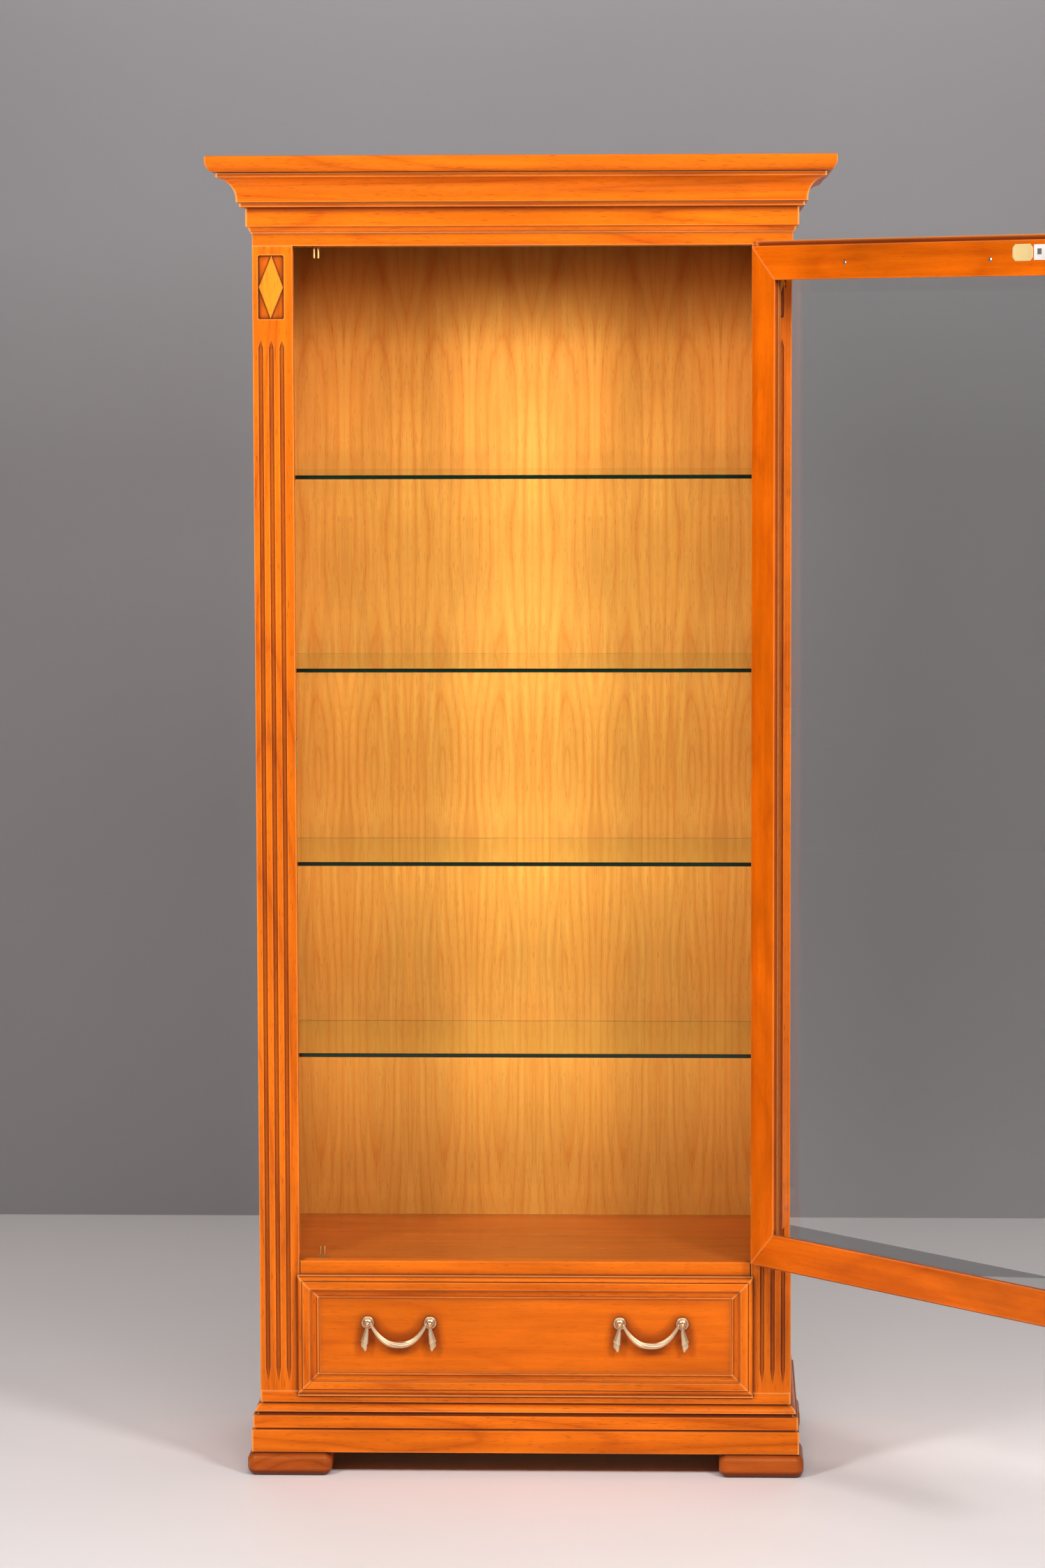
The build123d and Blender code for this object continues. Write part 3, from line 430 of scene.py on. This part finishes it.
# ---------------------------------------------------------------- mesh helpers
def skin(mesh, rings, close_start=True, close_end=True):
    """Add a tube through rings of points to a bmesh, with its ends closed by fans."""
    loops = [[mesh.verts.new(point) for point in ring] for ring in rings]
    count = len(loops[0])
    for low, high in zip(loops, loops[1:]):
        for k in range(count):
            after = (k + 1) % count
            mesh.faces.new((low[k], low[after], high[after], high[k]))
    for loop, wanted in ((loops[0][::-1], close_start), (loops[-1], close_end)):
        if wanted:
            hub = mesh.verts.new(sum((v.co for v in loop), Vector()) / count)
            for k in range(count):
                mesh.faces.new((loop[k], loop[(k + 1) % count], hub))


def piece(name, mesh, material, body, crease=35.0):
    """Turn a bmesh into a shown piece that rides on a body."""
    bmesh.ops.recalc_face_normals(mesh, faces=mesh.faces)
    data = bpy.data.meshes.new(name)
    mesh.to_mesh(data)
    mesh.free()
    data.shade_smooth()
    data.set_sharp_from_angle(angle=math.radians(crease))
    data.materials.append(material)
    made = bpy.data.objects.new(name, data)
    bpy.context.scene.collection.objects.link(made)
    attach(made, body)
    return made


def turned(mesh, profile, centre, axis, sides=48):
    """Add a turned solid: profile points are (radius, distance along the axis)."""
    axis = Vector(axis).normalized()
    across = axis.orthogonal().normalized()
    beyond = axis.cross(across)
    rings = []
    for radius, along in profile:
        turns = [2 * math.pi * k / sides for k in range(sides)]
        rings.append([Vector(centre) + axis * along
                      + (across * math.cos(a) + beyond * math.sin(a)) * radius for a in turns])
    skin(mesh, rings)


def arc(centre, radius, start, end, steps):
    """(radius, along) points of a rounded part of a turned profile; angles from the axis, degrees."""
    angles = [math.radians(start + (end - start) * k / steps) for k in range(steps + 1)]
    return [(centre[0] + radius * math.sin(a), centre[1] + radius * math.cos(a)) for a in angles]


# ---------------------------------------------------------------- drawer pulls
BALL_R = 5.0 * MM
SWAG_SAG = 32.0 * MM
SWAG_POWER = 2.5
SWAG_STEPS = 72
SWAG_SIDES = 112
SWAG_FOLDS = 7
TASSEL_FOLDS = 6
TASSEL_SIDES = 72
EYE_R = 2.0 * MM
EYE_PIN_R = 1.25 * MM
POST_LOW, POST_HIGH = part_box("pull_rosettes")
ROSETTE_R = (POST_HIGH.z - POST_LOW.z) / 2
PANEL_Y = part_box("drawer_front_panel")[0].y
RIGHT_PIVOT = Vector(joint("right_bail_swing")["pos_m"])
HALF_HOLES = POST_HIGH.x - ROSETTE_R - RIGHT_PIVOT.x


def rosette(mesh, centre):
    """Stepped disc, turned post, ball and the small button on its front, seen along -Y."""
    mm = [(0.0, 0.0), (9.8, 0.0), (9.8, 1.1), (9.6, 1.8), (9.0, 2.4), (8.2, 2.6), (7.5, 2.35),
          (7.1, 1.9), (6.6, 1.75), (6.2, 2.0), (6.0, 3.0), (5.6, 3.7), (4.8, 4.2), (3.6, 4.8),
          (2.8, 5.8), (2.5, 7.2), (2.9, 8.6), (3.6, 9.2)]
    profile = [(radius * MM, along * MM) for radius, along in mm]
    ball = PANEL_Y - centre.y
    profile += arc((0.0, ball), BALL_R, 135, 28, 14)
    profile += arc((0.0, ball + BALL_R - 0.9 * MM), 2.1 * MM, 95, 0, 7)
    turned(mesh, profile, (centre.x, PANEL_Y, centre.z), (0, -1, 0))


def swag(name, body, pivot):
    """The bail: a festoon of gathered cloth, thick in the middle, its folds twisting as they cross."""
    mesh = bmesh.new()
    reach = HALF_HOLES - BALL_R - 0.4 * MM
    rings = []
    for step in range(SWAG_STEPS + 1):
        t = -math.cos(math.pi * step / SWAG_STEPS)
        centre = pivot + Vector((reach * t, 0, -SWAG_SAG * (1 - abs(t) ** SWAG_POWER)))
        slope = SWAG_POWER * SWAG_SAG * math.copysign(abs(t) ** (SWAG_POWER - 1), t)
        tangent = Vector((reach, 0, slope)).normalized()
        above = Vector((0, 1, 0)).cross(tangent)
        thick = (2.1 + 3.0 * (1 - t * t)) * MM
        ring = []
        for k in range(SWAG_SIDES):
            angle = 2 * math.pi * k / SWAG_SIDES
            fold = abs(math.sin(SWAG_FOLDS * (angle + 0.8 * t) / 2 + 0.5 * math.sin(3.0 * t)))
            radius = thick * (0.80 + 0.20 * fold ** 0.7)
            ring.append(centre + (Vector((0, 1, 0)) * math.cos(angle) + above * math.sin(angle)) * radius)
        rings.append(ring)
    skin(mesh, rings)
    for side in (-1, 1):
        inner = pivot + Vector((side * (HALF_HOLES - 8.0 * MM), 0, 0))
        knob = arc((0.0, EYE_R), EYE_R, 150, 30, 6)
        eye = [(0.0, 0.0)] + knob + [(EYE_PIN_R, 3.8 * MM), (EYE_PIN_R, 6.0 * MM)]
        turned(mesh, eye, inner, (side, 0, 0), 32)
    made = piece(name, mesh, PALE_BRASS, body, 60)
    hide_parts(f"pull_{name}")
    return made


def tassel(mesh, ball, side):
    """A draped cloth end under a ball: an upper fall with a slanting hem, and the fold below it."""
    upper = ((-4.0, 2.3, 2.2, 0.4), (-6.0, 2.7, 2.5, 0.6), (-10.0, 3.4, 2.8, 1.1), (-15.0, 4.3, 3.1, 1.9),
             (-20.0, 5.0, 3.3, 2.8), (-25.0, 5.5, 3.4, 3.7), (-28.6, 5.8, 3.5, 4.3), (-29.2, 5.3, 3.0, 4.4),
             (-28.4, 4.2, 2.2, 4.3))
    lower = ((-24.0, 4.2, 2.6, 3.8), (-29.0, 4.7, 2.9, 4.3), (-33.0, 4.9, 3.0, 4.7), (-36.5, 4.5, 2.9, 5.0),
             (-38.6, 3.4, 2.3, 5.1), (-39.4, 1.8, 1.4, 5.1))
    for rows, slant, shift in ((upper, 2.6, 0.0), (lower, 1.6, 0.7)):
        rings = []
        for z, half_x, half_y, lean in rows:
            hem = max(0.0, (-z - 18.0) / 11.0)
            ring = []
            for k in range(TASSEL_SIDES):
                angle = 2 * math.pi * k / TASSEL_SIDES
                fold = 0.84 + 0.16 * abs(math.sin(TASSEL_FOLDS * angle / 2 + shift + 0.03 * z))
                x = side * (lean + half_x * fold * math.cos(angle))
                rise = slant * hem * math.cos(angle)
                y = 1.0 + half_y * fold * math.sin(angle)
                ring.append(ball + MM * Vector((x, y, z + rise)))
            rings.append(ring)
        skin(mesh, rings)


def pulls():
    rosettes, tassels = bmesh.new(), bmesh.new()
    for name in ("left", "right"):
        pivot = Vector(joint(f"{name}_bail_swing")["pos_m"])
        pivot.x = math.copysign(RIGHT_PIVOT.x, -1 if name == "left" else 1)
        swag(f"bail_{name}", f"{name}_bail", pivot)
        for side in (-1, 1):
            ball = pivot + Vector((side * HALF_HOLES, 0, 0))
            rosette(rosettes, ball)
            tassel(tassels, ball, side)
    made = piece("rosettes_turned", rosettes, PALE_BRASS, "drawer")
    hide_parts("pull_rosettes")
    made = piece("tassels_draped", tassels, PALE_BRASS, "drawer", 60)
    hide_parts("pull_tassels")


pulls()


# ---------------------------------------------------------------- screws and labels
SCREW_SIDES = 48
SCREW_RINGS = 15


def screw_head(mesh, centre, out, radius, rise):
    """A domed screw head with a cross recess, as a round grid of points raised along out."""
    out = Vector(out).normalized()
    across = out.orthogonal().normalized()
    beyond = out.cross(across)
    slot_half, slot_reach = 0.16, 0.62
    rim_share = 0.3
    turns = [2 * math.pi * k / SCREW_SIDES for k in range(SCREW_SIDES)]
    rings = []
    for level in [0.0] + [0.35 + 0.65 * k / 3 for k in range(4)]:
        rings.append([Vector(centre) + out * rise * rim_share * level
                      + (across * math.cos(a) + beyond * math.sin(a)) * radius for a in turns])
    for step in range(1, SCREW_RINGS):
        r = 1.0 - step / SCREW_RINGS
        ring = []
        for a in turns:
            x, y = r * math.cos(a), r * math.sin(a)
            in_slot = min(abs(x), abs(y)) < slot_half and r < slot_reach
            height = rise * (rim_share + (1 - rim_share) * (1 - r * r)) - (0.9 * rise if in_slot else 0.0)
            ring.append(Vector(centre) + out * height + (across * x + beyond * y) * radius)
        rings.append(ring)
    skin(mesh, rings)


RAIL_SCREW_X = (0.1403, -0.1623)
RAIL_SCREW_DOWN = 0.035
HINGE_H = 45 * MM
HINGE_SCREW_IN = 9 * MM
BACK_SCREW_ROWS = 9
BACK_SCREW_INSET = 12 * MM
BACK_SCREW_X = 0.19


def screws():
    out_of_door = Matrix.Rotation(DOOR_OPEN, 3, "Z")
    rail_high = closed_box("door_rail_top")[1]
    rail = bmesh.new()
    for x in RAIL_SCREW_X:
        spot = on_door(x, rail_high.y, rail_high.z - RAIL_SCREW_DOWN)
        screw_head(rail, spot, out_of_door @ Vector((0, 1, 0)), 3.1 * MM, 1.0 * MM)
    piece("door_rail_screws", rail, STEEL, "door")

    hinge_door, hinge_body = bmesh.new(), bmesh.new()
    door_low, door_high = closed_box("hinge_leaves_door")
    body_low, body_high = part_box("hinge_leaves_cabinet")
    middle = (body_low.z + body_high.z) / 2
    for low in (body_low.z, middle - HINGE_H / 2, body_high.z - HINGE_H):
        for up in (HINGE_SCREW_IN, HINGE_H - HINGE_SCREW_IN):
            spot = on_door(door_low.x + 1.0 * MM, door_high.y - 4.5 * MM, low + up)
            screw_head(hinge_door, spot, out_of_door @ Vector((1, 0, 0)), 2.6 * MM, 0.5 * MM)
            spot = (body_low.x, body_high.y - 6 * MM, low + up)
            screw_head(hinge_body, spot, (-1, 0, 0), 2.6 * MM, 0.5 * MM)
    piece("hinge_screws_door", hinge_door, BRASS, "door")
    piece("hinge_screws_cabinet", hinge_body, BRASS, "cabinet")

    lock = bmesh.new()
    case_low, case_high = closed_box("lock_case")
    for up in (-26 * MM, 26 * MM):
        middle = (case_low + case_high) / 2
        spot = on_door(middle.x + 9 * MM, case_high.y, middle.z + up)
        screw_head(lock, spot, out_of_door @ Vector((0, 1, 0)), 2.4 * MM, 0.8 * MM)
    plate_low, plate_high = closed_box("lock_escutcheon")
    for up in (-12.5 * MM, 12.5 * MM):
        middle = (plate_low + plate_high) / 2
        spot = on_door(middle.x, plate_low.y, middle.z + up)
        screw_head(lock, spot, out_of_door @ Vector((0, -1, 0)), 1.5 * MM, 0.6 * MM)
    piece("lock_screws", lock, BRASS, "door")

    fixed = bmesh.new()
    strike_low, strike_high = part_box("lock_strike_plate")
    for up in (5 * MM, strike_high.z - strike_low.z - 5 * MM):
        spot = (strike_high.x, (strike_low.y + strike_high.y) / 2, strike_low.z + up)
        screw_head(fixed, spot, (1, 0, 0), 2.2 * MM, 0.6 * MM)
    piece("strike_screws", fixed, BRASS, "cabinet")

    back = bmesh.new()
    low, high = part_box("back_panel")
    last = BACK_SCREW_ROWS - 1
    for row in range(BACK_SCREW_ROWS):
        z = low.z + 0.03 + (high.z - low.z - 0.06) * row / last
        across = (0.0, -BACK_SCREW_X, BACK_SCREW_X) if row in (0, last) else ()
        for x in (low.x + BACK_SCREW_INSET, high.x - BACK_SCREW_INSET, *across):
            screw_head(back, (x, high.y, z), (0, 1, 0), 3.2 * MM, 1.4 * MM)
    piece("back_panel_screws", back, STEEL, "cabinet")


def label(name, outline, thickness, material, place):
    """A flat sticker with a softly rounded rim; place maps (across, up, out) to the frame."""
    mesh = bmesh.new()
    middle_x = sum(x for x, z in outline) / len(outline)
    middle_z = sum(z for x, z in outline) / len(outline)
    rings = []
    for shrink, out in ((1.0, 0.0), (1.0, 0.6), (0.97, 1.0), (0.86, 1.0), (0.84, 0.8), (0.4, 0.8)):
        rings.append([place(middle_x + (x - middle_x) * shrink, middle_z + (z - middle_z) * shrink,
                            out * thickness) for x, z in outline])
    skin(mesh, rings)
    piece(name, mesh, material, "door")


OCTAGON_X = -0.2274
TAG_X = -0.2606
LABEL_DOWN = 0.026
TAG_HALF = 11 * MM
SQUARE_SHARE = 0.38


def labels():
    """Two blank stickers inside the top rail, near the latch corner."""
    high = closed_box("door_rail_top")[1]

    def place(x, z, out):
        return on_door(x, high.y + out, high.z - LABEL_DOWN + z)

    half_w, half_h, cut = 20.4 * MM, 12.0 * MM, 5.5 * MM
    octagon = [
        (half_w, -half_h + cut), (half_w, half_h - cut), (half_w - cut, half_h), (cut - half_w, half_h),
        (-half_w, half_h - cut), (-half_w, cut - half_h), (cut - half_w, -half_h), (half_w - cut, -half_h),
    ]
    gold = paper("label_gold_foil", rgb(0.86, 0.66, 0.3), rgb(0.72, 0.5, 0.2), 0.3)
    label("label_octagon", [(x + OCTAGON_X, z) for x, z in octagon], 0.3 * MM, gold, place)
    white = paper("label_white_paper", rgb(0.86, 0.85, 0.82), rgb(0.78, 0.77, 0.74), 0.5)
    tag = [(TAG_HALF, -TAG_HALF), (TAG_HALF, TAG_HALF), (-TAG_HALF, TAG_HALF), (-TAG_HALF, -TAG_HALF)]
    label("label_tag", [(x + TAG_X, z) for x, z in tag], 0.2 * MM, white, place)
    grey = paper("label_grey_print", rgb(0.16, 0.15, 0.14), rgb(0.1, 0.1, 0.09), 0.5)
    square = [(SQUARE_SHARE * x + TAG_X, SQUARE_SHARE * z + 1 * MM) for x, z in tag]
    label("label_tag_square", square, 0.3 * MM, grey, place)


screws()
labels()


# ---------------------------------------------------------------- studio
def stage_plane(name, corners, material):
    mesh = bpy.data.meshes.new(name)
    mesh.from_pydata(corners, [], [(0, 1, 2, 3)])
    mesh.materials.append(material)
    made = bpy.data.objects.new(name, mesh)
    bpy.context.scene.collection.objects.link(made)


def plain(name, light, dark, roughness, one_sided=False):
    """A nearly even studio surface; one-sided, it is clear when seen from behind."""
    g = Graph(name)
    mottle = g.noise(g.place(), 1.3, 4.0, 0.6)
    material = g.principled(Base_Color=g.mix(mottle, dark, light), Roughness=roughness)
    if one_sided:
        behind = g.node("ShaderNodeNewGeometry").outputs["Backfacing"]
        clear = g.node("ShaderNodeBsdfTransparent")
        shown = g.result.inputs[0].links[0].from_socket
        both = g.node("ShaderNodeMixShader", {0: behind, 1: shown, 2: clear.outputs[0]})
        g.feed(g.result.inputs[0], both.outputs[0])
    return material


WALL_Y = 2.04
WALL_H = 6.0
REACH = 9.0
stage_plane("studio_floor", [(-REACH, -REACH, 0), (REACH, -REACH, 0), (REACH, REACH, 0), (-REACH, REACH, 0)],
            plain("floor_pale", rgb(0.98, 0.93, 0.915), rgb(0.91, 0.86, 0.845), 0.55))
stage_plane("studio_backdrop",
            [(-REACH, WALL_Y, 0), (REACH, WALL_Y, 0), (REACH, WALL_Y, WALL_H), (-REACH, WALL_Y, WALL_H)],
            plain("backdrop_grey", rgb(0.37, 0.355, 0.365), rgb(0.34, 0.325, 0.335), 0.8, True))


def soft_light(name, place, target, size, power):
    lamp = bpy.data.lights.new(name, "AREA")
    lamp.shape = "RECTANGLE"
    lamp.size, lamp.size_y = size
    lamp.energy = power
    made = bpy.data.objects.new(name, lamp)
    made.location = place
    made.rotation_euler = (Vector(target) - Vector(place)).to_track_quat("-Z", "Y").to_euler()
    made.visible_camera = False
    bpy.context.scene.collection.objects.link(made)


AIM = (0.0, -0.2, 1.1)
SOFTBOX = (0.6, 0.75)
SOFTBOX_POWER = 56
soft_light("softbox_left", (-1.75, -2.65, 2.46), AIM, SOFTBOX, SOFTBOX_POWER)
soft_light("softbox_right", (1.75, -2.65, 2.46), AIM, SOFTBOX, SOFTBOX_POWER)
soft_light("top_front", (0.6, -4.6, 4.4), (0.4, -3.0, 0), (2.6, 1.6), 108)
soft_light("fill_rear", (0.0, 1.9, 2.9), (0, 0.2, 0.9), (2.5, 0.6), 20)

world = bpy.data.worlds.new("studio")
world.use_nodes = True
surroundings = world.node_tree.nodes["Background"]
surroundings.inputs["Color"].default_value = rgb(0.9, 0.92, 0.95)
surroundings.inputs["Strength"].default_value = 0.065
bpy.context.scene.world = world

LENS = 113.87
SENSOR = 36.0
CAMERA_PLACE = (0.2802, -7.7125, 1.7416)
CAMERA_TILT, CAMERA_TURN, CAMERA_ROLL = (math.radians(angle) for angle in (84.863, 2.151, -0.159))
camera = bpy.data.objects.new("camera", bpy.data.cameras.new("camera"))
camera.data.lens = LENS
camera.data.sensor_width = SENSOR
upright = Euler((CAMERA_TILT, 0, CAMERA_TURN)).to_matrix()
camera.rotation_euler = (upright @ Matrix.Rotation(CAMERA_ROLL, 3, "Z")).to_euler()
camera.location = CAMERA_PLACE
bpy.context.scene.collection.objects.link(camera)
bpy.context.scene.camera = camera
